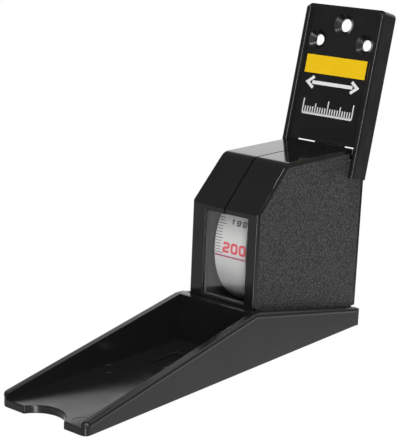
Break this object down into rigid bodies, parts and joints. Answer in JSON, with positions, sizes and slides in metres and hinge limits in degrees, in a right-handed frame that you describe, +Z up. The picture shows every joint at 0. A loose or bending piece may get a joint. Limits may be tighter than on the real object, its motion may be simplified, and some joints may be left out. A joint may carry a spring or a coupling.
{
  "type": "wall-mounted stadiometer",
  "caption": "Wall plate with three screw holes and a housing with a long measuring tray, pulled down from it on a sprung tape read through a window.",
  "frame": {"origin": "midway between the lower pair of screw holes, on the rear face of the plate's web", "axes": "+X across the plate to the right as seen from the front, +Y towards the wall, +Z up"},
  "size_m": [0.0358, 0.1434, 0.1451],
  "materials": {
    "plate_plastic": "satin moulded, polished edges",
    "label": "printed film",
    "steel": "bright zinc",
    "rivet_brass": "bright",
    "tape_enamel": "white enamel with printed scale",
    "reel_plastic": "moulded",
    "spring_steel": "blued",
    "washer_nylon": "natural",
    "housing_plastic": "fine leather grain on the sides",
    "clear_pane": "clear moulded",
    "tray_plastic": "semi-gloss moulded"
  },
  "bodies": {
    "plate": {"wall_plate": "plate_plastic", "plate_label": "label", "hook_pin": "steel"},
    "tape_end": {"tape_hook": "steel", "hook_rivets": "rivet_brass", "tape_tail": "tape_enamel"},
    "housing": {"tape_run": "tape_enamel", "mainspring": "spring_steel", "arbor": "steel", "arbor_screw": "steel", "thrust_washers": "washer_nylon", "guide_pin": "steel", "housing_left": "housing_plastic", "housing_right": "housing_plastic", "housing_screws": "steel", "window_pane": "clear_pane", "head_tray": "tray_plastic", "tray_screws": "steel"},
    "reel": {"tape_coil": "tape_enamel", "tape_reel": "reel_plastic", "reel_cover": "reel_plastic"}
  },
  "joints": [
    {"name": "hook_swing", "type": "hinge", "parent": "plate", "child": "tape_end", "pos_m": [0, 0.0023, -0.031], "axis": [1, 0, 0], "range_deg": [-13, 0]},
    {"name": "pull_down", "type": "slide", "parent": "tape_end", "child": "housing", "axis": [0, 0.225, -0.9744], "range_m": [0, 2], "stiffness_N_per_m": 0.5, "springref_m": -4, "deforming": ["tape_tail"]},
    {"name": "reel_spin", "type": "hinge", "parent": "housing", "child": "reel", "pos_m": [0, -0.02437, -0.07241], "axis": [1, 0, 0], "range_deg": [0, 5190]}
  ],
  "couplings": [
    {"joint": "reel_spin", "follows": "pull_down", "rad_per_m": 45.25}
  ]
}
